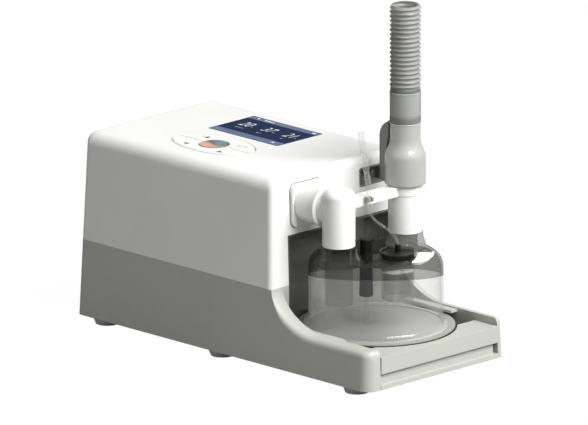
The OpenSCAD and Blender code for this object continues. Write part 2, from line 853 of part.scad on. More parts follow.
module chamber_guard() {
    skirt_t = 1.9;
    skirt_z = bay_floor_z + guard_travel + 3.5;
    color(shell_grey) difference() {
        union() {
            block(guard_x0, half_len, bay_front_y + 0.5, bay_rear_y - 0.5, guard_z - guard_plate_t, guard_z);
            block(half_len - skirt_t, half_len, bay_front_y + 0.5, bay_rear_y - 0.5, skirt_z, guard_z - 1);
            block(guard_x0, guard_x0 + 2, bay_front_y + 0.5, bay_rear_y - 0.5, guard_z - 6, guard_z - 1);
            for (p = guard_spring_spots) post(p[0], p[1], guard_z - 7.6, guard_z - 1, 1.6);
        }
        post(chamber_x, chamber_y, 0, guard_z + 1, guard_cut_r);
    }
}

module guard_springs() {
    color(steel) for (p = guard_spring_spots)
        translate([p[0], p[1], bay_floor_z + 0.05])
            coil(2.8, guard_z - guard_plate_t - bay_floor_z - 0.1, 6, 0.45);
}

// ---------------------------------------------------------------- water chamber

module base_plate() {
    color([0.6, 0.6, 0.58]) post(chamber_x, chamber_y, base_z, base_z + 0.9, 54.5);
}

module base_ring() {
    color([0.8, 0.8, 0.76]) ring(chamber_x, chamber_y, base_z, flange_z, flange_r, 54.6);
}

module base_gasket() {
    color(rubber) ring(chamber_x, chamber_y, flange_z, flange_z + 0.5, 54.3, 51.4);
}

// Half-space over the tilted joint plane, lifted by i
module over_joint(i) {
    translate([chamber_x, chamber_y, bell_z + i]) rotate([0, 0, -45]) rotate([0, -joint_tilt, 0])
        translate([-90, -90, 0]) cube([180, 180, 60]);
}

// Profile of the bell's wall: flared foot, then a straight side that is cut along the joint
module chamber_bell() {
    foot_z = flange_z + 0.5;
    foot_r = 54.3;
    flare = foot_r - bell_r;
    t = 1.6;
    arc_z = foot_z + 1.6;
    rim_z = 82;
    color(clear) difference() {
        translate([chamber_x, chamber_y, 0]) rotate_extrude($fn = 128) polygon(concat(
            [[foot_r - 3.1, foot_z], [foot_r, foot_z], [foot_r, foot_z + 1.4]],
            [for (a = [0 : 15 : 90]) [bell_r + flare * (1 - sin(a)), arc_z + 5 * (1 - cos(a))]],
            [[bell_r, rim_z], [bell_r - t, rim_z]],
            [for (a = [90 : -15 : 0]) [bell_r - t + flare * (1 - sin(a)) / 2, arc_z + 5 * (1 - cos(a)) - 0.2]]
        ));
        over_joint(0);
    }
}

function cap_outer(i) = concat(
    [[bell_r - i, 75.8]],
    [for (a = [10 : 10 : 80]) [44 - i + (bell_r - 44) * cos(a), 75.8 + (cap_z - 75.8 - i) * sin(a)]],
    [[44 - i, cap_z - i]]
);

module port_stub(y) {
    translate([port_x, y, 0]) rotate_extrude($fn = 96) polygon([
        [0, cap_z - 3], [16, cap_z - 3], [15.4, cap_z + 1.4], [14.2, cap_z + 4.2], [13.6, cap_z + 7],
        [13.5, 96], [pipe_bore_r - 0.05, 96], [pipe_bore_r - 0.05, 108], [0, 108]
    ]);
}

module chamber_cap() {
    t = 1.5;
    skirt_z = 56;
    color(smoked) difference() {
        union() {
            translate([chamber_x, chamber_y, 0]) rotate_extrude($fn = 128) polygon(concat(
                [[bell_r - t, skirt_z], [bell_r, skirt_z]], cap_outer(0),
                [[0, cap_z], [0, cap_z - t]], [for (k = [len(cap_outer(t)) - 1 : -1 : 0]) cap_outer(t)[k]]
            ));
            ring(chamber_x, chamber_y, cap_z - 0.5, cap_z + 0.9, 44, 42.2);
            port_stub(outlet_y);
            port_stub(port_b_y);
            post(hub_x, hub_y, cap_z - 1, cap_z + 4, 14.3);
        }
        for (y = [outlet_y, port_b_y]) post(port_x, y, cap_z - 5, 110, 9.4);
        post(hub_x, hub_y, cap_z - 5, cap_z + 10, hub_r + 0.05);
        post(column_x, column_y, cap_z - 5, cap_z + 5, 4.85);
        translate([0, 0, gap - 60 / cos(joint_tilt)]) over_joint(0);
    }
}

module feed_hub() {
    color([0.12, 0.12, 0.12]) difference() {
        union() {
            post(hub_x, hub_y, 53, cap_z + 2.6, hub_r);
            post(hub_x, hub_y, cap_z - 3.2, cap_z - 1.6, hub_r + 1.4);
            post(hub_x, hub_y, cap_z + 2, 95, 2.2);
        }
        post(hub_x, hub_y, 52, cap_z + 1, hub_r - 1.6);
        post(hub_x, hub_y, 50, 96, 1.1);
    }
}

module valve_column() {
    color([0.05, 0.05, 0.05]) union() {
        post(column_x, column_y, 52.5, 97, 4.8);
        post(column_x, column_y, base_z + 2, 53, 1.9);
        post(column_x, column_y, base_z + 0.95, base_z + 2.2, 4);
    }
}

module inlet_baffle() {
    color(clear) ring(port_x, outlet_y, 53, cap_z - 3.05, 10.6, 9.4);
}

module float() {
    color([0.95, 0.95, 0.9, 0.8]) ring(column_x, column_y, base_z + 2.5, base_z + 8, float_r, 1.95);
}

// ---------------------------------------------------------------- adapter and tubes

module port_adapter() {
    arm_z0 = 125.8;
    arm_z1 = 133;
    top_a = 142;
    dome_r = 6;
    elbow_r = pipe_r - 0.5;
    color(adapter_white) difference() {
        union() {
            translate([port_x, outlet_y, 0]) rotate_extrude($fn = 96) polygon(concat(
                [[0, 98.3], [elbow_r, 98.3]],
                [for (a = [0 : 10 : 90]) [elbow_r - dome_r * (1 - cos(a)), top_a - dome_r * (1 - sin(a))]],
                [[0, top_a]]
            ));
            rod_x(spigot_x, port_x, outlet_y, outlet_z, spigot_r);
            rod_x(52.1, 70.1, outlet_y, outlet_z, 15);
            rod_x(70, 72.5, outlet_y, outlet_z, 16);
            block(port_x - 5, port_x + 5, outlet_y, port_b_y, arm_z0, arm_z1);
            post(port_x, port_b_y, 96.2, arm_z0 + 1, pipe_r);
            post(port_x, port_b_y, arm_z0, arm_z1, pipe_r + 0.3);
            post(port_x, port_b_y, arm_z1 - 1, 150, pipe_bore_r);
        }
        rod_x(spigot_x - 1, port_x, outlet_y, outlet_z, 10);
        post(port_x, outlet_y, 98, 136, 10);
        post(port_x, outlet_y, 97, 110, pipe_bore_r);
        post(port_x, port_b_y, 95, 110, pipe_bore_r);
        post(port_x, port_b_y, 95, 152, 9.3);
        for (y = [outlet_y, port_b_y]) translate([port_x, y, 104])
            rotate_extrude() translate([pipe_bore_r + 0.4, 0]) circle(0.95, $fn = 24);
    }
}

module port_seals() {
    color(rubber) for (y = [outlet_y, port_b_y]) translate([port_x, y, 104])
        rotate_extrude() translate([pipe_bore_r + 0.65, 0]) circle(0.65, $fn = 24);
}

clip_y = -9.5;
line_r = 2.3;
module tube_clip() {
    color([0.2, 0.2, 0.2]) difference() {
        block(port_x + 5.05, port_x + 11.2, clip_y - 3.1, clip_y + 3.1, 127, 133);
        post(port_x + 8, clip_y, 120, 140, line_r + 0.05);
    }
}

module water_line() {
    foot = [port_x + 8, clip_y, 134];
    head = [87, -12.4, 183];
    hub = [hub_x, hub_y, 95.1];
    thin_r = 1.15;
    color([0.88, 0.9, 0.9, 0.6]) union() {
        post(foot[0], foot[1], 124, 136, line_r);
        swept(
            [for (i = [0 : 10]) bezier(foot, foot + [0, 0, 14], head + [0.8, 0.9, -16], head, i / 10)],
            line_r, 14
        );
        swept(
            [for (i = [0 : 14]) bezier(foot - [0, 0, 9], foot - [0, 0, 24], hub + [-1, -2, 14], hub, i / 14)],
            thin_r, 10
        );
    }
}

module hose_connector() {
    wing_r = 13.5;
    wing_top = neck_z - 0.3;
    wing_x = port_x - 20.6;
    color(hose_grey) difference() {
        union() {
            translate([port_x, port_b_y, 0]) rotate_extrude($fn = 96) polygon([
                [0, connector_z], [connector_r, connector_z], [connector_r, 156.5], [14.4, 160.5],
                [12.9, 164.4], [12.2, 167.4], [12.2, neck_z], [0, neck_z]
            ]);
            translate([0, port_b_y + 7, 0]) rotate([90, 0, 0]) linear_extrude(14) union() {
                translate([wing_x, connector_z]) square([20.6, wing_top - wing_r - connector_z]);
                translate([wing_x + wing_r, wing_top - wing_r]) circle(wing_r);
                translate([wing_x + wing_r, connector_z + 5])
                    square([20.6 - wing_r, wing_top - connector_z - 5]);
            }
        }
        post(port_x, port_b_y, connector_z - 1, 151, pipe_bore_r + 0.1);
        post(port_x, port_b_y, 150, neck_z + 1, 9.3);
    }
}

module hose_cuff() {
    color([0.6, 0.61, 0.6, 0.85]) ring(port_x, port_b_y, neck_z + 0.05, cuff_z, hose_r, 9.6);
}

module breathing_hose() {
    pitch = (hose_z - cuff_z) / hose_ribs;
    groove = 1;
    color([0.66, 0.67, 0.65]) translate([port_x, port_b_y, cuff_z + 0.05]) rotate_extrude($fn = 96)
    polygon(concat(
        [[9.4, 0]],
        [for (k = [0 : hose_ribs - 1]) each [
            [hose_r - groove, k * pitch], [hose_r, (k + 0.3) * pitch], [hose_r, (k + 0.6) * pitch],
            [hose_r - groove, (k + 0.9) * pitch]
        ]],
        [[9.4, hose_z - cuff_z - 0.05 - 0.1 * pitch]]
    ));
}

lower_shell();
upper_shell();
bay_liner();
outlet_flange();
outlet_seal();
tube_socket();
socket_contacts();
display_lens();
display_module();
key_frame();
key_switches();
control_board();
alarm_buzzer();
power_board();
ribbon_cable();
power_inlet();
oxygen_inlet();
oxygen_hose();
filter_seat();
blower_housing();
blower_cover();
blower_motor();
blower_dampers();
blower_screws();
outlet_duct();
flow_sensor();
heater_housing();
heater_springs();
guard_springs();
rubber_feet();
case_screws();
impeller();
motor_shaft();
heater_plate();
heating_element();
thermal_cutout();
chamber_guard();
key_down();
key_up();
key_silence();
key_power();
centre_key();
filter_cover();
air_filter();
base_plate();
base_ring();
base_gasket();
chamber_bell();
chamber_cap();
feed_hub();
valve_column();
inlet_baffle();
port_adapter();
port_seals();
tube_clip();
water_line();
float();
hose_connector();
hose_cuff();
breathing_hose();
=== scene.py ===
import json
import math

import bmesh
import bpy
from mathutils import Matrix, Vector, noise


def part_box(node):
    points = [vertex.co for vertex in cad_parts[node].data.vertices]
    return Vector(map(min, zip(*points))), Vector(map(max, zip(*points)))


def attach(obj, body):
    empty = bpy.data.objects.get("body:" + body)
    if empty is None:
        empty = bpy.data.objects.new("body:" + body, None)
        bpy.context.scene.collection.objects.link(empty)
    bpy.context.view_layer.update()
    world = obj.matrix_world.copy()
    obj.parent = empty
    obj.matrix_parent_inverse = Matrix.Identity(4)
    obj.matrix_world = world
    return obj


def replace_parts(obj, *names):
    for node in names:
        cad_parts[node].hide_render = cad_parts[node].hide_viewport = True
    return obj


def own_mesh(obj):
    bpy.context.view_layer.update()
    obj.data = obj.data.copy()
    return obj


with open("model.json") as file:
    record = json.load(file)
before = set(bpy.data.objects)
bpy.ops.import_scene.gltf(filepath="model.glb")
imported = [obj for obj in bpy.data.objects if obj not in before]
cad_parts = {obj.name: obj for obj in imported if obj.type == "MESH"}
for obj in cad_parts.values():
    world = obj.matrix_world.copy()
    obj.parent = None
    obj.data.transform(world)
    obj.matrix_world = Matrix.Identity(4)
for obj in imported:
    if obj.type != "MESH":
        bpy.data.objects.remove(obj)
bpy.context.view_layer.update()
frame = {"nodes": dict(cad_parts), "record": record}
nodes = frame["nodes"]
MM = 0.001


def box_mm(node):
    """A CAD node's lowest and highest corner, in millimetres."""
    return [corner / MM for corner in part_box(node)]


def mid_mm(node):
    """The middle of a CAD node's box, in millimetres."""
    low, high = box_mm(node)
    return (low + high) / 2


CHAMBER_AXIS = mid_mm("heater_plate").xy * MM
KEY_PAD_CENTRE = mid_mm("key_frame").xy * MM


# ------------------------------------------------------------------ material graphs

MATERIALS = {}


class Graph:
    """A material's node tree. add() makes a node; a value that is a socket is linked, any other is set.
    An input is named with _ for each space, or given by its place as i0, i1 and so on."""

    def __init__(self, name):
        self.name = name
        self.material = bpy.data.materials.new(name)
        self.material.use_nodes = True
        self.tree = self.material.node_tree
        self.tree.nodes.clear()

    def add(self, kind, settings=None, **inputs):
        node = self.tree.nodes.new("ShaderNode" + kind)
        for key, value in (settings or {}).items():
            setattr(node, key, value)
        for key, value in inputs.items():
            by_place = key[0] == "i" and key[1:].isdigit()
            socket = node.inputs[int(key[1:]) if by_place else key.replace("_", " ")]
            if isinstance(value, bpy.types.NodeSocket):
                self.tree.links.new(value, socket)
            else:
                socket.default_value = value
        return node

    def math(self, operation, a, b):
        return self.add("Math", {"operation": operation}, i0=a, i1=b).outputs[0]

    def vector(self, operation, a, b=(0, 0, 0)):
        node = self.add("VectorMath", {"operation": operation}, i0=a, i1=b)
        return node.outputs["Value" if operation in ("DOT_PRODUCT", "LENGTH") else "Vector"]

    def point(self):
        """The shaded point in the part's frame."""
        return self.add("TexCoord").outputs["Object"]

    def off_axis(self, axis):
        """The shaded point, measured from an upright axis at (x, y)."""
        return self.vector("SUBTRACT", self.point(), (axis[0], axis[1], 0))

    def flattened(self, vector):
        return self.vector("MULTIPLY", vector, (1, 1, 0))

    def rings(self, radius, scale):
        """Fine turned rings: noise along the radius."""
        along = self.math("MULTIPLY", radius, scale)
        return self.add("TexNoise", {"noise_dimensions": "1D"}, W=along, Scale=4.0).outputs["Fac"]

    def glancing(self):
        """0 where the surface faces the eye, rising to 1 at its edges."""
        return self.math("POWER", self.add("LayerWeight", Blend=0.5).outputs["Facing"], 3.0)

    def noise(self, scale, detail, stretch=None):
        at = self.point()
        if stretch:
            at = self.add("Mapping", i0=at, i3=stretch).outputs[0]
        return self.add("TexNoise", Vector=at, Scale=scale, Detail=detail).outputs["Fac"]

    def remap(self, value, low, high, low_out, high_out):
        return self.add("MapRange", i0=value, i1=low, i2=high, i3=low_out, i4=high_out).outputs[0]

    def spread(self, value, low, high):
        """The middle of a noise value's range, as low..high."""
        return self.remap(value, 0.3, 0.7, low, high)

    def mix(self, factor, a, b):
        return self.add("Mix", {"data_type": "RGBA"}, i0=factor, i6=a, i7=b).outputs[2]

    def mix_shaders(self, factor, a, b):
        return self.add("MixShader", i0=factor, i1=a, i2=b).outputs[0]

    def finish(self, shader):
        out = self.add("OutputMaterial")
        self.tree.links.new(shader, out.inputs["Surface"])
        MATERIALS[self.name] = self.material


def rgba(colour, gain=1.0):
    """A colour input's value, with the colour scaled by gain."""
    return (colour[0] * gain, colour[1] * gain, colour[2] * gain, 1.0)


def moulded(name, colour, rough=0.4, grain=2200, depth=0.00002, wear=0.25, coat=0.0, coat_rough=0.08,
            metallic=0.0, shine=0.5):
    """Moulded plastic, rubber or metal: slight colour drift, uneven roughness, fine grain, worn edges."""
    edge_radius, drift_share = 0.0004, 0.03
    g = Graph(name)
    soft = g.add("Bevel", {"samples": 4}, Radius=edge_radius).outputs[0]
    flat = g.add("NewGeometry").outputs["Normal"]
    rim = g.remap(g.vector("DOT_PRODUCT", soft, flat), 0.995, 0.8, 0.0, wear)
    drift = g.spread(g.noise(14, 4), 0, 1)
    base = g.mix(drift, rgba(colour, 1 - drift_share), rgba(colour, 1 + drift_share))
    worn = g.math("MULTIPLY", rim, g.spread(g.noise(240, 5), 0.3, 1.0))
    lighter = tuple(min(1.0, c * 1.25 + 0.03) for c in colour)
    base = g.mix(worn, base, rgba(lighter))
    uneven = g.spread(g.noise(70, 5), rough * 0.86, min(1.0, rough * 1.14))
    normal = g.add("Bump", Strength=0.6, Distance=depth, Height=g.noise(grain, 2), Normal=soft).outputs[0]
    shader = g.add(
        "BsdfPrincipled", Base_Color=base, Roughness=uneven, Metallic=metallic, Normal=normal,
        Specular_IOR_Level=shine, Coat_Weight=coat, Coat_Roughness=coat_rough,
    )
    g.finish(shader.outputs[0])


def see_through(name, tint, haze, rough=0.05, haze_colour=(0.8, 0.8, 0.78), rim=0.1, shine=1.0, deepen=0.0,
                bend=0.0, far=None):
    """Clear or smoked plastic: a tinted pass-through that can deepen at a glancing angle, haze, and gloss.
    bend leans the normal outwards from the chamber's axis, as on a slightly domed moulding.
    far = (haze, glow) gives the wall beyond that axis its own haze and a faint emitted glow, painted light
    standing in for scattered light, up to its right-hand quarter, so that what stands inside stays crisp."""
    index_of_plastic = 1.45
    g = Graph(name)
    edge = g.glancing()
    deep = g.math("MULTIPLY", g.math("POWER", edge, 2.5), deepen)
    through = g.add("BsdfTransparent", Color=g.mix(deep, rgba(tint), rgba(tint, 0.2))).outputs[0]
    near_side = g.add("BsdfDiffuse", Color=rgba(haze_colour)).outputs[0]
    far_side = g.add("BsdfTranslucent", Color=rgba(haze_colour)).outputs[0]
    body = g.mix_shaders(0.5, near_side, far_side)
    if far:
        far_level, painted_glow_level = far
        # painted light: an emitted glow on the far wall stands in for scattered light
        painted_glow = g.add("Emission", Color=rgba(haze_colour), Strength=painted_glow_level).outputs[0]
        body = g.add("AddShader", i0=body, i1=painted_glow).outputs[0]
        outwards = g.flattened(g.off_axis(CHAMBER_AXIS))
        facing_out = g.vector("DOT_PRODUCT", outwards, g.add("NewGeometry").outputs["Normal"])
        across = g.vector("DOT_PRODUCT", outwards, (0.707, 0.707, 0))
        far_haze = g.remap(across, 0.016, 0.034, far_level, haze)
        haze = g.remap(facing_out, 0.0, -0.01, haze, far_haze)
    cloud = g.spread(g.noise(60, 4), 0.75, 1.25)
    amount = g.math("MULTIPLY", g.math("ADD", g.math("MULTIPLY", edge, rim), haze), cloud)
    inner = g.mix_shaders(amount, through, body)
    normal = g.add("Bump", Strength=0.25, Distance=0.00005, Height=g.noise(160, 2)).outputs[0]
    if bend:
        lean = g.vector("MULTIPLY", g.off_axis(CHAMBER_AXIS), (bend, bend, 0))
        normal = g.vector("NORMALIZE", g.vector("ADD", normal, lean))
    streak = g.spread(g.noise(90, 5), rough, rough * 2)
    gloss = g.add("BsdfGlossy", Roughness=streak, Normal=normal).outputs[0]
    inside = g.add("NewGeometry").outputs["Backfacing"]
    index = g.remap(inside, 0.0, 1.0, index_of_plastic, 1 / index_of_plastic)
    mirror = g.math("MULTIPLY", g.add("Fresnel", IOR=index, Normal=normal).outputs[0], shine)
    g.finish(g.mix_shaders(mirror, inner, gloss))


def soft_tube(name, colour, shade_below, streaks, edge_shade_level):
    """Thin flexible plastic: light passes through the wall, so the shaded side stays soft. The colour
    darkens towards the edges by the last argument, painted shade on the tube's sides. The (bottom, top,
    level) argument darkens what lies under bottom, fading out up to top: painted shade where the tube meets
    the part below."""
    g = Graph(name)
    drift = g.spread(g.noise(60, 5, (1, 1, 0.25)), 0.93 - streaks, 1.05)
    # painted shade: the colour darkens towards the tube's edges
    level = g.math("MULTIPLY", drift, g.remap(g.glancing(), 0.1, 0.8, 1.0, edge_shade_level))
    height = g.add("SeparateXYZ", i0=g.point()).outputs[2]
    # painted shade: darker under a given height, where the tube meets the part below
    bottom, top, shade_level = shade_below
    level = g.math("MULTIPLY", level, g.remap(height, bottom, top, shade_level, 1.0))
    base = g.mix(level, (0, 0, 0, 1), rgba(colour))
    normal = g.add("Bump", Strength=0.4, Distance=0.00003, Height=g.noise(900, 3)).outputs[0]
    skin = g.add("BsdfDiffuse", Color=base, Normal=normal).outputs[0]
    passed = g.add("BsdfTranslucent", Color=base, Normal=normal).outputs[0]
    body = g.mix_shaders(0.66, skin, passed)
    gloss = g.add("BsdfGlossy", Roughness=g.spread(g.noise(80, 4), 0.24, 0.4), Normal=normal).outputs[0]
    mirror = g.math("MULTIPLY", g.add("Fresnel", IOR=1.4).outputs[0], 0.5)
    g.finish(g.mix_shaders(mirror, body, gloss))


def iridescent(name, centre, tones):
    """Turned metal whose colour swings round the middle; tones = (share of a turn, colour) in order."""
    g = Graph(name)
    near = g.off_axis(centre)
    turn = g.add("TexGradient", {"gradient_type": "RADIAL"}, Vector=near).outputs["Fac"]
    ramp = g.add("ValToRGB", i0=g.math("ADD", turn, g.spread(g.noise(260, 3), -0.02, 0.02)))
    stops = ramp.color_ramp.elements
    for stop, (place, colour) in zip(stops, (tones[0], tones[-1])):
        stop.position, stop.color = place, rgba(colour)
    for place, colour in tones[1:-1]:
        stops.new(place).color = rgba(colour)
    radius = g.vector("LENGTH", g.flattened(near))
    normal = g.add("Bump", Strength=0.2, Distance=0.00002, Height=g.rings(radius, 1400)).outputs[0]
    rim = g.remap(radius, 0.0100, 0.0108, 1.0, 0.6)
    base = g.mix(rim, (0.2, 0.17, 0.15, 1), ramp.outputs[0])
    shader = g.add("BsdfPrincipled", Base_Color=base, Metallic=0.25, Roughness=0.32, Normal=normal)
    g.finish(shader.outputs[0])


def spun_metal(name, colour, rough, centre, ring_scale):
    """Turned or brushed metal with fine rings round a centre."""
    g = Graph(name)
    rings = g.rings(g.vector("LENGTH", g.flattened(g.off_axis(centre))), ring_scale)
    normal = g.add("Bump", Strength=0.3, Distance=0.00003, Height=rings).outputs[0]
    base = g.mix(rings, rgba(colour, 0.9), rgba(colour, 1.05))
    uneven = g.math("ADD", g.spread(g.noise(90, 4), 0.0, 0.08), rough)
    shader = g.add("BsdfPrincipled", Base_Color=base, Metallic=1.0, Roughness=uneven, Normal=normal)
    g.finish(shader.outputs[0])


def glowing(name, colour):
    """A lit patch of the display, slightly uneven."""
    g = Graph(name)
    level = g.spread(g.noise(300, 3), 0.94, 1.06)
    g.finish(g.add("Emission", Color=rgba(colour), Strength=level).outputs[0])


def make_materials():
    moulded("case_white", (0.735, 0.735, 0.715), 0.36, coat=0.1, depth=0.000012)
    moulded("case_grey", (0.4, 0.403, 0.366), 0.5, grain=1500, depth=0.00003)
    moulded("liner_dark", (0.085, 0.085, 0.068), 0.22, coat=0.3, depth=0.00001)
    moulded("black_plastic", (0.012, 0.012, 0.012), 0.3, depth=0.00001)
    moulded("screen", (0.012, 0.022, 0.06), 0.25, depth=0.000004, wear=0.05)
    moulded("key_white", (0.74, 0.74, 0.72), 0.45, wear=0.12)
    iridescent("key_metal", KEY_PAD_CENTRE, (
        (0.0, (0.40, 0.33, 0.24)), (0.12, (0.62, 0.34, 0.20)), (0.25, (0.68, 0.33, 0.2)),
        (0.38, (0.6, 0.3, 0.17)), (0.5, (0.22, 0.2, 0.16)), (0.62, (0.07, 0.13, 0.11)),
        (0.72, (0.13, 0.28, 0.26)), (0.86, (0.12, 0.13, 0.16)), (0.93, (0.09, 0.07, 0.1)),
        (1.0, (0.40, 0.33, 0.24)),
    ))
    moulded("board", (0.02, 0.11, 0.045), 0.4, grain=500)
    moulded("steel", (0.6, 0.6, 0.61), 0.3, metallic=1.0)
    moulded("contact", (0.42, 0.38, 0.3), 0.3, metallic=1.0)
    moulded("rubber", (0.45, 0.45, 0.43), 0.75, grain=900, depth=0.00005)
    moulded("foam", (0.03, 0.034, 0.04), 0.95, grain=700, depth=0.0006)
    moulded("duct_grey", (0.13, 0.14, 0.15), 0.5)
    spun_metal("alu", (0.52, 0.52, 0.5), 0.35, CHAMBER_AXIS, 700.0)
    moulded("heater_foil", (0.4, 0.16, 0.02), 0.3)
    moulded("ceramic_white", (0.7, 0.7, 0.65), 0.35)
    # far's second value is the strength of a painted glow on the far wall
    see_through("clear", (0.985, 0.985, 0.98), 0.025, haze_colour=(0.95, 0.95, 0.93), shine=0.7,
                far=(0.32, 0.11))
    see_through("smoked", (0.69, 0.69, 0.68), 0.02, rough=0.012, haze_colour=(0.3, 0.3, 0.29), rim=0.0,
                shine=0.5, deepen=0.9, bend=6.0, far=(0.5, 0.05))
    see_through("baffle_smoked", (0.84, 0.84, 0.83), 0.06, rim=0.0, shine=0.7, deepen=1.0)
    moulded("ring_light", (0.27, 0.27, 0.253), 0.35)
    moulded("plate_soft", (0.36, 0.36, 0.347), 0.4, grain=1400, depth=0.00001, shine=0.3)
    moulded("adapter_white", (0.72, 0.72, 0.70), 0.3, coat=0.2, depth=0.000008)
    see_through("line_clear", (0.985, 0.985, 0.98), 0.03, rim=0.25)
    moulded("hose_grey", (0.35, 0.35, 0.327), 0.42, coat=0.9, depth=0.000004, coat_rough=0.02)
    # the cuff's darker edges and both tubes' darker lower ends are painted shade
    soft_tube("hose_soft", (0.6, 0.61, 0.59), (0.2075, 0.2095, 0.55), 0.0, 1.0)
    soft_tube("cuff_soft", (0.68, 0.695, 0.675), (0.1862, 0.1868, 0.62), 0.05, 0.45)
    see_through("float_white", (0.98, 0.98, 0.975), 0.03, rim=0.06, shine=0.4)
    moulded("motor_can", (0.4, 0.4, 0.42), 0.3, metallic=1.0)
    moulded("cable_grey", (0.35, 0.35, 0.33), 0.6)
    glowing("lit_navy", (0.03, 0.042, 0.088))
    glowing("lit_bar", (0.155, 0.205, 0.325))
    glowing("lit_white", (0.9, 0.95, 1.0))
    glowing("lit_pale", (0.34, 0.4, 0.56))
    moulded("black_soft", (0.006, 0.006, 0.006), 0.35, depth=0.00001, shine=0.15)
    moulded("socket_grey", (0.16, 0.16, 0.15), 0.45, depth=0.00001)
    # painted shade: a darker copy of the connector's grey, for the grip fin that sits in shade
    moulded("grip_shade_grey", (0.17, 0.17, 0.155), 0.32, coat=0.2, depth=0.000008)
    moulded("ink", (0.05, 0.05, 0.05), 0.6)
    moulded("ink_pale", (0.2, 0.2, 0.2), 0.6)


SLOT_OF = {subpart["node"]: subpart["material_slot"] for subpart in frame["record"]["subparts"]}
# CAD nodes that look different from the others in their slot
LOOK_OF = {"base_plate": "plate_soft", "inlet_baffle": "baffle_smoked", "tube_socket": "socket_grey"}


def dress_cad_nodes():
    """Gives every CAD node its material, welded smooth surfaces and crisp edges."""
    for name, obj in nodes.items():
        obj.data.materials.clear()
        obj.data.materials.append(MATERIALS[LOOK_OF.get(name, SLOT_OF[name])])
        weld = obj.modifiers.new("weld", "WELD")
        weld.merge_threshold = 1e-6
        split = obj.modifiers.new("split", "EDGE_SPLIT")
        split.split_angle = math.radians(28)
        split.use_edge_sharp = False


make_materials()
dress_cad_nodes()


# ------------------------------------------------------------------ mesh helpers

def placed(name, data):
    obj = bpy.data.objects.new(name, data)
    bpy.context.scene.collection.objects.link(obj)
    return obj


def piece_from(name, bm, material, body, sharp=35):
    """Turns a bmesh into a shown piece that rides on a CAD body and takes one of the script's materials."""
    bmesh.ops.recalc_face_normals(bm, faces=bm.faces)
    mesh = bpy.data.meshes.new(name)
    bm.to_mesh(mesh)
    bm.free()
    mesh.shade_smooth()
    mesh.set_sharp_from_angle(angle=math.radians(sharp))
    mesh.materials.append(MATERIALS[material])
    obj = placed(name, mesh)
    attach(obj, body)
    return obj


def loop_of(bm, points):
    """New vertices at points in mm."""
    return [bm.verts.new(Vector(point) * MM) for point in points]


def bridge(bm, here, there):
    """A band of faces between two closed loops with the same number of vertices."""
    count = len(here)
    for k in range(count):
        bm.faces.new((here[k], here[(k + 1) % count], there[(k + 1) % count], there[k]))


def bridge_round(bm, loops):
    """Bands from each loop to the next, and from the last to the first."""
    for here, there in zip(loops, loops[1:] + loops[:1]):
        bridge(bm, here, there)


def revolved(bm, profile, centre, segments=96, wobble=None):
    """Closed (radius, height) loop in mm, turned round a vertical axis at centre."""
    loops = []
    for s in range(segments):
        angle = 2 * math.pi * s / segments
        points = []
        for r, z in profile:
            dr, dz = wobble(angle, r, z) if wobble else (0, 0)
            points.append((
                centre[0] + (r + dr) * math.cos(angle), centre[1] + (r + dr) * math.sin(angle), z + dz,
            ))
        loops.append(loop_of(bm, points))
    bridge_round(bm, loops)


def rounded(points, reach=0.35, steps=4):
    """Rounds a closed 2D loop; each corner starts at reach times its shorter neighbouring side."""
    out = []
    for k, corner in enumerate(points):
        corner = Vector(corner)
        before, after = Vector(points[k - 1]) - corner, Vector(points[(k + 1) % len(points)]) - corner
        length = reach * min(before.length, after.length)
        a, b = corner + before.normalized() * length, corner + after.normalized() * length
        for i in range(steps + 1):
            t = i / steps
            out.append(tuple(a * (1 - t) ** 2 + corner * (2 * t * (1 - t)) + b * t ** 2))
    return out


def level_place(x, y, height):
    """Leaves a plate lying flat, as drawn."""
    return x, y, height


def plated(bm, outline, low, high, place=level_place, bevel=0.0):
    """Flat outline (x, y) in mm, thickened from low to high; place maps (x, y, height) to a point in mm."""
    lower = loop_of(bm, [place(x, y, low) for x, y in outline])
    upper = loop_of(bm, [place(x, y, high) for x, y in outline])
    ends = [bm.faces.new(lower[::-1]), bm.faces.new(upper)]
    bridge(bm, lower, upper)
    if bevel:
        rims = [edge for face in ends for edge in face.edges]
        bmesh.ops.bevel(
            bm, geom=rims, offset=bevel * MM, segments=3, profile=0.5, affect="EDGES", clamp_overlap=True
        )


def framed(bm, outer, inner, low, high):
    """A flat ring between two outlines with the same number of points (mm), thickened from low to high."""
    corners = ((outer, low), (outer, high), (inner, high), (inner, low))
    bridge_round(bm, [loop_of(bm, [(x, y, z) for x, y in line]) for line, z in corners])


def swept(bm, path, radii, sides):
    """A hollow tube along path (points in mm), radii = (outer, inner)."""
    path = [Vector(p) for p in path]
    side = Vector((1, 0, 0))
    stations = []
    for k, point in enumerate(path):
        ahead = (path[min(k + 1, len(path) - 1)] - path[max(k - 1, 0)]).normalized()
        side = (side - ahead * side.dot(ahead)).normalized()
        stations.append((point, side, ahead.cross(side)))
    turns = [2 * math.pi * s / sides for s in range(sides)]
    walls = []
    for radius in radii:
        loops = [
            loop_of(bm, [point + (a * math.cos(t) + b * math.sin(t)) * radius for t in turns])
            for point, a, b in stations
        ]
        walls.append(loops)
        for here, there in zip(loops, loops[1:]):
            bridge(bm, here, there)
    for end in (0, -1):
        bridge(bm, walls[0][end], walls[1][end])


def curve_points(a, b, c, d, steps):
    """Points on a Bezier curve from a to d."""
    return [
        a * (1 - t) ** 3 + b * 3 * t * (1 - t) ** 2 + c * 3 * t * t * (1 - t) + d * t ** 3
        for t in (k / steps for k in range(steps + 1))
    ]


def circle(cx, cy, rx, ry=None, count=64, start=0.0, end=360.0):
    """Points on an ellipse, or on its arc from start to end in degrees."""
    ry = rx if ry is None else ry
    is_arc = end - start < 360
    angles = [math.radians(start + (end - start) * k / count) for k in range(count + is_arc)]
    return [(cx + rx * math.cos(t), cy + ry * math.sin(t)) for t in angles]


# ------------------------------------------------------------------ breathing tube

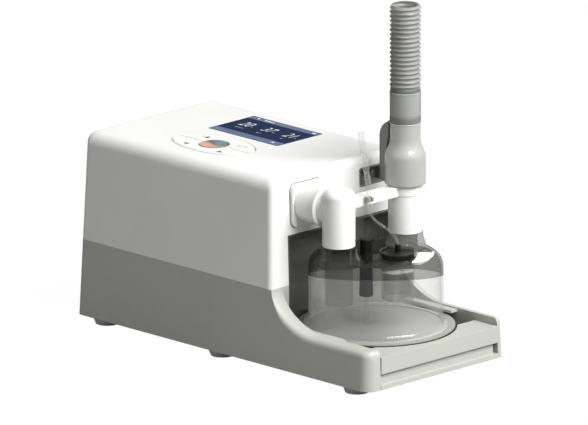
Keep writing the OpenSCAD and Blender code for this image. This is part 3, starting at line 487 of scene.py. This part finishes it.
# one rib of the hose, as (share of the pitch, share of the groove's depth)
RIB = (
    (0.0, 1.0), (0.16, 0.9), (0.32, 0.45), (0.4, 0.06), (0.47, 0.0), (0.55, 0.12), (0.66, 0.6), (0.84, 0.94),
)


def corrugated_hose():
    """The ribbed hose, slightly uneven and cut flat at its top."""
    low, high = box_mm("breathing_hose")
    outer = (high.x - low.x) / 2
    ribs, collar, groove, wall = 18, 3.4, 1.25, 1.0
    pitch = (high.z - low.z - collar) / ribs
    skin = [(outer - 0.5, low.z), (outer - 0.45, low.z + collar * 0.8)]
    for k in range(ribs):
        foot = low.z + collar + k * pitch
        skin += [(outer - groove * depth, foot + share * pitch) for share, depth in RIB]
    skin.append((outer - groove, high.z))
    inside = [(r - wall, z) for r, z in reversed(skin)]

    def wobble(angle, r, z):
        seed = Vector((math.cos(angle) * 1.3, math.sin(angle) * 1.3, z * 0.35))
        in_ribs = low.z + collar < z < high.z - 1
        return 0.22 * noise.noise(seed), 0.5 * noise.noise(seed + Vector((9, 4, 2))) * in_ribs

    bm = bmesh.new()
    revolved(bm, skin + inside, (low + high) / 2, 120, wobble)
    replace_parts(piece_from("hose_corrugated", bm, "hose_soft", "hose", 80), "breathing_hose")


def cuff():
    """The smooth sleeve under the ribs, with a raised band at each end."""
    low, high = box_mm("hose_cuff")
    z0, z1, r = low.z, high.z, (high.x - low.x) / 2
    skin = [
        (r - 0.15, z0), (r, z0 + 0.6), (r, z0 + 4.4), (r - 0.35, z0 + 5.0), (r - 0.35, z0 + 5.3),
        (r - 0.05, z0 + 5.9), (r - 0.05, z1 - 1.6), (r + 0.1, z1 - 1.1), (r + 0.1, z1 - 0.3), (r - 0.3, z1),
        (r - 1.5, z1), (r - 1.6, z1 - 1), (r - 1.6, z0 + 1), (r - 1.4, z0),
    ]
    bm = bmesh.new()
    revolved(bm, rounded(skin, 0.3, 2), (low + high) / 2)
    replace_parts(piece_from("cuff_sleeve", bm, "cuff_soft", "hose", 60), "hose_cuff")


def connector():
    """The wide connector on the adapter's spigot, and the grip fin on its left."""
    low, high = box_mm("hose_connector")
    axis = mid_mm("breathing_hose")
    r, bore = high.x - axis.x, 9.4
    z0, z1 = low.z, high.z
    shell = [
        (r - 0.9, z0), (r - 0.1, z0 + 0.5), (r, z0 + 1.6), (r, z0 + 12), (r, z0 + 21), (r - 0.3, z0 + 23.4),
        (r - 1.2, z0 + 25.8), (r - 2.5, z0 + 28.6), (r - 3.5, z0 + 31.6), (r - 4.0, z0 + 35),
        (r - 4.0, z1 - 1.2), (r - 3.7, z1 - 0.7), (r - 3.9, z1), (bore + 0.9, z1), (bore, z1 - 0.8),
        (bore, z0 + 19), (r - 2.0, z0 + 17.5), (r - 2.0, z0),
    ]
    bm = bmesh.new()
    revolved(bm, rounded(shell, 0.42, 4), axis, 128)
    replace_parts(piece_from("connector_shell", bm, "hose_grey", "hose", 50), "hose_connector")
    top, corner, half_width = z1 - 0.3, 13.5, 6.8
    foot_x, neck_x = axis.x - r + 2.2, axis.x - 11.2
    fin = [(foot_x, z0 + 0.2), (foot_x, z0 + 26), (neck_x, z0 + 36), (neck_x, top)]
    arc = circle(low.x + corner, top - corner, corner, None, 14, 90, 180)
    fin += [(x, z) for x, z in arc if x < neck_x - 0.1]
    fin += [(low.x, z0 + 1.6), (low.x + 1.4, z0 + 0.2)]
    bm = bmesh.new()
    plated(bm, fin, -half_width, half_width, lambda x, z, depth: (x, axis.y + depth, z), 2.2)
    # the grip takes the darker grey, painted shade for its shaded side
    piece_from("connector_grip", bm, "grip_shade_grey", "hose", 50)


# ------------------------------------------------------------------ chamber fittings

def feed_line():
    """The clear line from its open end at the top, through the clip, down to the nipple in the cap."""
    clip, hub, hub_top = mid_mm("tube_clip"), mid_mm("feed_hub"), box_mm("feed_hub")[1].z
    foot = Vector((clip.x - 0.1, clip.y, clip.z + 4))
    head = Vector((87, -12.4, box_mm("water_line")[1].z - 0.1))
    straight = [(foot.x, foot.y, z) for z in (124.5, 127, 130, 132)]
    upper = curve_points(foot, foot + Vector((0, 0, 14)), head + Vector((0.8, 0.9, -16)), head, 28)
    bm = bmesh.new()
    swept(bm, straight + upper, (2.25, 1.6), 24)
    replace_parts(piece_from("feed_line_wide", bm, "line_clear", "chamber", 60), "water_line")
    nipple = Vector((hub.x, hub.y, hub_top))
    start = Vector((foot.x, foot.y, 125.6))
    lower = curve_points(
        start, start + Vector((0, 0, -15)), nipple + Vector((-1, -2, 14)), nipple + Vector((0, 0, 0.1)), 40
    )
    bm = bmesh.new()
    swept(bm, lower, (1.1, 0.6), 16)
    piece_from("feed_line_thin", bm, "line_clear", "chamber", 60)


def line_clip():
    """The small snap clip that holds the feed line on the adapter's arm: a block with an open slot."""
    low, high = box_mm("tube_clip")
    middle = (low + high) / 2
    reach, slot = 2.7, 0.75
    jaws = [
        (-reach, -reach), (reach, -reach), (reach, -slot), (0.4, -slot), (0.4, slot), (reach, slot),
        (reach, reach), (-reach, reach),
    ]
    bm = bmesh.new()
    plated(bm, [(middle.x + x, middle.y + y) for x, y in jaws], middle.z - 0.4, high.z - 0.2, bevel=0.2)
    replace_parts(piece_from("line_clip", bm, "ring_light", "chamber", 40), "tube_clip")


def feed_hub():
    """The black lid with its nipple, and the smoked well that hangs under it."""
    low, high = box_mm("feed_hub")
    centre = (low + high) / 2
    rim = (high.x - low.x) / 2
    r, lid, under = rim - 1.4, high.z - 6.4, high.z - 12.2
    bm = bmesh.new()
    revolved(bm, [
        (1.1, high.z), (2.2, high.z), (2.2, lid + 0.6), (2.8, lid), (r - 0.5, lid), (r, lid - 0.5),
        (r, under + 1.6), (rim, under + 1.6), (rim, under), (r - 1.7, under), (r - 1.7, lid - 1.6),
        (1.1, lid - 1.6),
    ], centre, 72)
    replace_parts(piece_from("hub_lid", bm, "black_soft", "chamber", 40), "feed_hub")
    well = [(r, under), (r, low.z + 0.4), (r - 0.4, low.z), (r - 1.6, low.z), (r - 1.6, under)]
    bm = bmesh.new()
    revolved(bm, well, centre, 72)
    piece_from("hub_well", bm, "baffle_smoked", "chamber", 40)


def valve_column():
    """The black column through the cap, slightly wider at its foot, and the rod that guides the float."""
    low, high = box_mm("valve_column")
    centre, foot, axis_gap = (low + high) / 2, 52.5, 0.01
    bm = bmesh.new()
    revolved(bm, [
        (axis_gap, high.z), (4.4, high.z), (4.8, high.z - 0.4), (4.8, foot + 28), (5.5, foot + 0.6),
        (5.1, foot), (axis_gap, foot),
    ], centre, 48)
    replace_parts(piece_from("column_body", bm, "black_soft", "chamber", 40), "valve_column")
    bm = bmesh.new()
    revolved(bm, [
        (axis_gap, foot), (1.9, foot), (1.9, low.z + 1.3), (4, low.z + 1.3), (4, low.z), (axis_gap, low.z),
    ], centre, 32)
    piece_from("float_guide", bm, "float_white", "chamber", 40)


# ------------------------------------------------------------------ case details

def flange_shade_ring():
    """A thin dark ring round the air outlet's square plate on the end face: painted shade standing for the
    shadow in the gap there.
    """
    low, high = box_mm("outlet_flange")
    side, corner = 33, 5
    bottom = high.z - side
    wall_x, wall_foot, lean = 51.5, 64.3, math.tan(math.radians(2))
    corners = (
        (high.y - corner, high.z - corner, 0), (low.y + corner, high.z - corner, 90),
        (low.y + corner, bottom + corner, 180), (high.y - corner, bottom + corner, 270),
    )

    def loop(grow, lift):
        outline = []
        for y, z, start in corners:
            outline += circle(y, z, corner + grow, None, 8, start, start + 90)
        return loop_of(bm, [(wall_x - (z - wall_foot) * lean + lift, y, z) for y, z in outline])

    bm = bmesh.new()
    bridge_round(bm, [loop(*step) for step in ((0.05, -0.3), (0.05, 0.06), (0.75, 0.06), (0.75, -0.3))])
    # the dark ring is painted shade for the gap round the plate
    piece_from("flange_shade_ring", bm, "socket_grey", "housing", 40)


def soft_springs(node):
    """A copy of the CAD node's springs, with a mesh of its own, riding on the housing in the node's place.
    """
    mesh = nodes[node].data.copy()
    mesh.transform(nodes[node].matrix_world)
    springs = placed(node + "_soft", mesh)
    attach(springs, "housing")
    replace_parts(springs, node)
    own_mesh(springs)


def filter_foam():
    """A soft-edged foam block with an uneven surface."""
    low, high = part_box("air_filter")
    bm = bmesh.new()
    bmesh.ops.create_cube(bm, size=1.0)
    bmesh.ops.scale(bm, vec=(high - low) * 0.985, verts=bm.verts)
    bmesh.ops.bevel(
        bm, geom=bm.edges[:], offset=1.2 * MM, segments=2, profile=0.5, affect="EDGES", clamp_overlap=True
    )
    bmesh.ops.subdivide_edges(bm, edges=bm.edges[:], cuts=18, use_grid_fill=True)
    bmesh.ops.translate(bm, vec=(low + high) / 2, verts=bm.verts)
    bm.normal_update()
    for vert in bm.verts:
        vert.co += vert.normal * (0.22 * noise.noise(vert.co * 900) - 0.1) * MM
    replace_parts(piece_from("filter_foam", bm, "foam", "filter", 60), "air_filter")


corrugated_hose()
cuff()
feed_hub()
valve_column()
connector()
feed_line()
line_clip()
flange_shade_ring()
soft_springs("heater_springs")
soft_springs("guard_springs")
filter_foam()


# ------------------------------------------------------------------ display picture and key marks

# small blocks on the display, as (across, up) in shares of the glass, then width and height in mm
STATUS_MARKS = (
    (0.125, 0.926, 2.2, 2.2), (0.235, 0.917, 2.6, 1.7), (0.275, 0.92, 1.6, 2.4), (0.31, 0.913, 2.4, 1.3),
    (0.345, 0.915, 1.6, 1.6), (0.924, 0.917, 3.6, 1.9), (0.871, 0.106, 2.4, 1.9), (0.84, 0.1, 0.9, 0.9),
)
LABEL_DASHES = (
    (0.43, 0.915, 3.0, 0.9), (0.49, 0.915, 4.4, 0.9), (0.56, 0.915, 3.0, 0.9), (0.07, 0.1, 3.2, 0.8),
    (0.17, 0.36, 2.0, 1.2), (0.215, 0.36, 3.4, 1.0), (0.26, 0.36, 1.6, 1.0), (0.49, 0.345, 2.6, 1.3),
    (0.53, 0.345, 1.2, 0.9), (0.82, 0.36, 1.8, 1.4), (0.295, 0.51, 2.2, 0.9), (0.61, 0.505, 2.6, 0.9),
    (0.925, 0.5, 2.2, 0.9),
)
NUMBERS = (("20", 0.112), ("37", 0.424), ("21", 0.742))


def flat_mark(name, outlines, low, material, body, thick=0.04):
    """Thin plates that lie on a surface, as one piece."""
    bm = bmesh.new()
    for outline in outlines:
        plated(bm, outline, low, low + thick)
    piece_from(name, bm, material, body)


def bar(x0, x1, y0, y1):
    return [(x0, y0), (x1, y0), (x1, y1), (x0, y1)]


def block(x, y, width, height):
    return bar(x - width / 2, x + width / 2, y - height / 2, y + height / 2)


def number_piece(index, digits, x, y, z):
    """Slanted, narrow digits, as a mesh on the display."""
    font = bpy.data.curves.new(f"number_{index}", "FONT")
    font.body = digits
    font.size = 15.2 * MM
    font.shear = 0.25
    font.offset = -0.18 * MM
    font.extrude = 0.02 * MM
    font.resolution_u = 6
    text = placed(f"number_{index}", font)
    bpy.context.view_layer.update()
    mesh = bpy.data.meshes.new_from_object(text.evaluated_get(bpy.context.evaluated_depsgraph_get()))
    bpy.data.objects.remove(text)
    narrower = Matrix.Diagonal((0.72, 1.0, 1.0, 1.0))
    mesh.transform(Matrix.Translation(Vector((x, y, z)) * MM) @ narrower)
    mesh.materials.clear()
    mesh.materials.append(MATERIALS["lit_white"])
    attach(placed(f"display_number_{index}", mesh), "housing")


def display_picture():
    """A generic picture: two bars, three numbers with small unlabelled dashes, and a few status marks."""
    low, high = box_mm("display_lens")
    width, depth, inset = high.x - low.x, high.y - low.y, 0.7
    left, right, front, back = low.x + inset, high.x - inset, low.y + inset, high.y - inset
    bar_level, mark_level = high.z + 0.02, high.z + 0.06

    def at(across, up):
        return low.x + across * width, low.y + up * depth

    field = rounded(bar(left, right, front, back), 0.02, 3)
    flat_mark("display_field", [field], high.z - 0.02, "lit_navy", "housing")
    bars = [bar(left, right, front, low.y + 0.18 * depth), bar(left, right, low.y + 0.855 * depth, back)]
    flat_mark("display_bars", bars, bar_level, "lit_bar", "housing")
    status = [rounded(block(*at(a, b), w, h), 0.3, 3) for a, b, w, h in STATUS_MARKS]
    flat_mark("display_status", status, mark_level, "lit_white", "housing")
    labels = [block(*at(a, b), w, h) for a, b, w, h in LABEL_DASHES]
    flat_mark("display_labels", labels, mark_level - 0.02, "lit_pale", "housing")
    for index, (digits, across) in enumerate(NUMBERS):
        number_piece(index, digits, *at(across, 0.47), mark_level + 0.01)


def key_marks():
    """Plain pictograms printed on the four keys: two arrows, a bell and a ring."""
    pad = mid_mm("key_frame")
    level = box_mm("key_up")[1].z - 0.005
    thick = 0.02

    def mark(name, body, x, y, outlines):
        shifted = [[(pad.x + x + px, pad.y + y + py) for px, py in line] for line in outlines]
        flat_mark(name, shifted, level, "ink", body, thick)

    mark("mark_down", "down_key", -16.8, -13.0, [rounded([(-3.1, 0), (2.3, -2.5), (2.3, 2.5)], 0.1, 2)])
    mark("mark_up", "up_key", 19.4, -13.0, [rounded([(3.1, 0), (-2.3, 2.5), (-2.3, -2.5)], 0.1, 2)])
    half_bell = [(2.4, -1.5), (1.6, -0.6), (1.3, 1.2), (0.6, 2.1)]
    bell = half_bell + [(-x, y) for x, y in reversed(half_bell)]
    clapper, dash = circle(0, -2.2, 0.6, 0.5, 12), bar(-5.2, -3.8, -0.9, 0.5)
    mark("mark_silence", "silence_key", -17.0, 10.2, [bell, clapper, dash])
    spot = (pad.x + 20.6, pad.y + 9.9)
    bm = bmesh.new()
    framed(bm, circle(*spot, 4.9, 2.2, 48), circle(*spot, 4.3, 1.7, 48), level, level + thick)
    piece_from("mark_power", bm, "ink_pale", "power_key")


display_picture()
key_marks()


# ------------------------------------------------------------------ camera, light and floor

VIEW_CENTRE = Vector((1.8, 1.8, 100.8)) * MM
VIEW_WIDTH = 0.444
AZIMUTH, ELEVATION = math.radians(45), math.radians(15.5)


def aimed(obj, at, backwards):
    """Puts a camera or lamp at a place, looking against the direction backwards."""
    obj.location = at
    obj.rotation_mode = "QUATERNION"
    obj.rotation_quaternion = (-backwards).to_track_quat("-Z", "Y")


def make_camera():
    """A very long lens far away, because the photo shows almost no perspective."""
    data = bpy.data.cameras.new("camera")
    data.lens = 1200
    data.sensor_width = 36
    data.clip_end = 100
    camera = placed("camera", data)
    level = math.cos(ELEVATION)
    back = Vector((math.sin(AZIMUTH) * level, -math.cos(AZIMUTH) * level, math.sin(ELEVATION)))
    aimed(camera, VIEW_CENTRE + back * (VIEW_WIDTH * data.lens / data.sensor_width), back)
    bpy.context.scene.camera = camera


def area_light(name, at, target, size, power):
    data = bpy.data.lights.new(name, "AREA")
    data.shape = "RECTANGLE"
    data.size, data.size_y = size
    data.energy = power
    light = placed(name, data)
    aimed(light, Vector(at), Vector(at) - Vector(target))
    return light


def make_lights():
    """The key light, and a window that only the smoked cap mirrors."""
    area_light("key", at=(2.05, 0.3, 2.25), target=(0, 0, 0.08), size=(2.3, 1.8), power=190)
    window = area_light(
        "window", at=(-1.75, 2.3, 1.3), target=(*CHAMBER_AXIS, 0.09), size=(0.7, 1.1), power=50
    )
    lit_by_window = bpy.data.collections.new("lit_by_window")
    lit_by_window.objects.link(nodes["chamber_cap"])
    window.light_linking.receiver_collection = lit_by_window


def make_floor():
    """Pure white to the camera, fairly bright in reflections, and grey as a source of bounced light."""
    bpy.ops.mesh.primitive_plane_add(size=60)
    floor = bpy.context.object
    floor.name = "floor"
    g = Graph("floor")
    rays = g.add("LightPath")
    plain = g.add("BsdfDiffuse", Color=rgba((0.26, 0.26, 0.26))).outputs[0]
    white = g.add("Emission", Color=rgba((1, 1, 1)), Strength=1.045).outputs[0]
    seen = g.math("MULTIPLY", rays.outputs["Is Camera Ray"], 0.95)
    mirrored = g.math("MULTIPLY", rays.outputs["Is Glossy Ray"], 0.6)
    g.finish(g.mix_shaders(g.math("ADD", seen, mirrored), plain, white))
    floor.data.materials.append(MATERIALS["floor"])


def make_world():
    """White surroundings, brighter towards +X and -Y, in reflections and behind the part."""
    world = bpy.data.worlds.new("studio")
    bpy.context.scene.world = world
    world.use_nodes = True
    tree = world.node_tree
    background = tree.nodes["Background"]
    background.inputs["Color"].default_value = (1, 1, 1, 1)
    rays = tree.nodes.new("ShaderNodeLightPath").outputs
    compass = tree.nodes.new("ShaderNodeSeparateXYZ")
    tree.links.new(tree.nodes.new("ShaderNodeTexCoord").outputs["Generated"], compass.inputs[0])
    gains = (
        (compass.outputs["X"], 0.14), (compass.outputs["Y"], -0.16),
        (rays["Is Glossy Ray"], 0.72), (rays["Is Camera Ray"], 1.15),
    )
    base = tree.nodes.new("ShaderNodeValue").outputs[0]
    base.default_value = 0.15
    level = base
    for source, gain in gains:
        step = tree.nodes.new("ShaderNodeMath")
        step.operation = "MULTIPLY_ADD"
        step.inputs[1].default_value = gain
        tree.links.new(source, step.inputs[0])
        tree.links.new(level, step.inputs[2])
        level = step.outputs[0]
    tree.links.new(level, background.inputs["Strength"])


make_camera()
make_world()
make_floor()
make_lights()
bpy.context.scene.cycles.transparent_max_bounces = 24
bpy.context.scene.view_settings.view_transform = "Standard"
